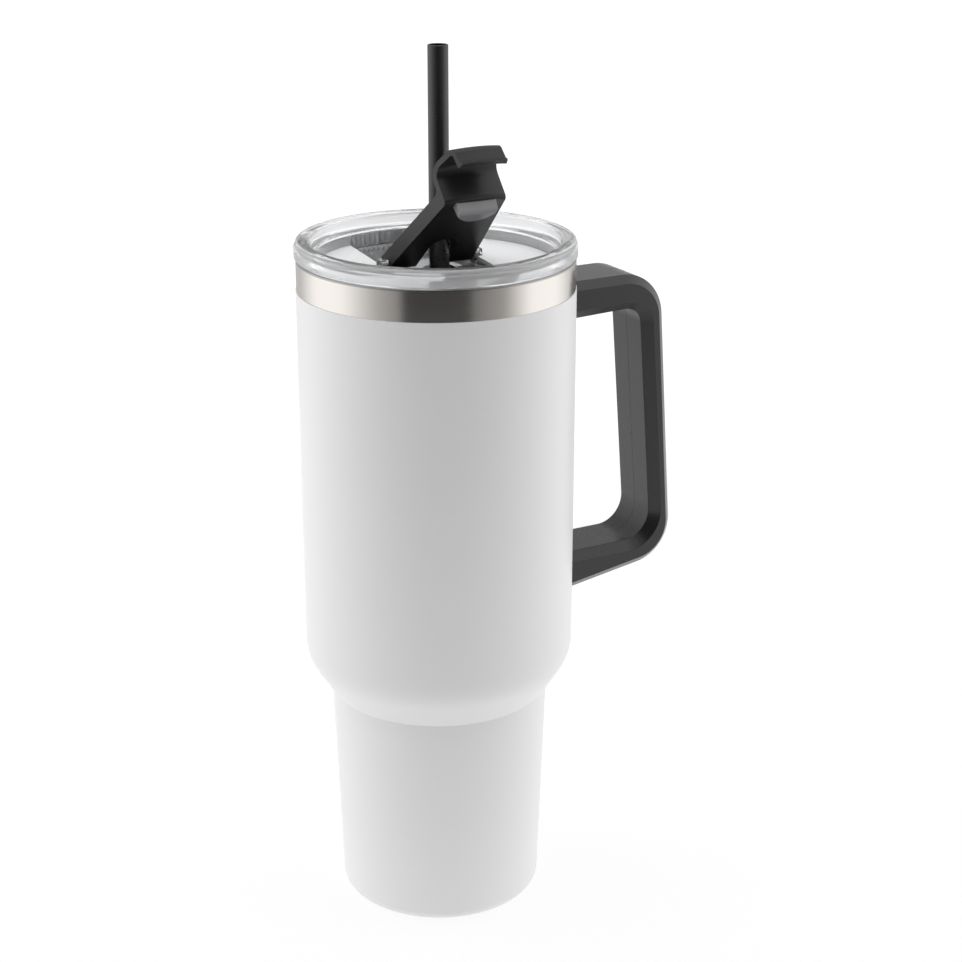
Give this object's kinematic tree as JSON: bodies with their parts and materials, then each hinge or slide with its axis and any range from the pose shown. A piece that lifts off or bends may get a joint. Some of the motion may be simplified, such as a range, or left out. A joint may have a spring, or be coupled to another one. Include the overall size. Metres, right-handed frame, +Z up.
{
  "type": "insulated tumbler with lid",
  "caption": "Tall double-wall steel tumbler with a narrow waist, side handle, clear press-in lid, flip lever over a sip opening, and a straight straw.",
  "frame": {"origin": "on the floor at the centre of the round base", "axes": "+Z up along the cup's axis, +X towards the handle, -Y towards the sip opening"},
  "size_m": [0.1482, 0.102, 0.327],
  "materials": {
    "steel_shell": "fine circumferential brushing",
    "white_coat": "satin powder coat",
    "steel_liner": "spun, satin",
    "steel_base": "stamped, satin",
    "seal_steel": "plain",
    "getter_alloy": "sintered, matte",
    "handle_plastic": "satin moulded polypropylene",
    "bracket_steel": "plain",
    "screw_steel": "machined",
    "clear_plastic": "clear polished copolyester",
    "gasket_silicone": "translucent silicone",
    "grommet_silicone": "matte silicone",
    "pin_steel": "ground",
    "lever_plastic": "satin moulded polypropylene",
    "seal_silicone": "satin silicone",
    "straw_plastic": "satin extruded polypropylene"
  },
  "bodies": {
    "cup": {"outer_shell": "steel_shell", "powder_coat": "white_coat", "inner_liner": "steel_liner", "base_plate": "steel_base", "vacuum_seal": "seal_steel", "vacuum_getter": "getter_alloy", "handle": "handle_plastic", "handle_upper_bracket": "bracket_steel", "handle_lower_bracket": "bracket_steel", "handle_upper_screw": "screw_steel", "handle_lower_screw": "screw_steel"},
    "lid": {"lid_body": "clear_plastic", "lid_gasket": "gasket_silicone", "straw_grommet": "grommet_silicone", "hinge_pin_left": "pin_steel", "hinge_pin_right": "pin_steel"},
    "flip": {"flip_lever": "lever_plastic", "flip_seal": "seal_silicone"},
    "straw": {"straw": "straw_plastic"}
  },
  "joints": [
    {"name": "lid_lift", "type": "slide", "parent": "cup", "child": "lid", "axis": [0, 0, 1], "range_m": [0, 0.26]},
    {"name": "flip_hinge", "type": "hinge", "parent": "lid", "child": "flip", "pos_m": [0, 0.00487, 0.25054], "axis": [-1, 0, 0], "range_deg": [-40.3, 6]},
    {"name": "straw_slide", "type": "slide", "parent": "lid", "child": "straw", "axis": [0, 0, 1], "range_m": [-0.0105, 0.29]}
  ]
}
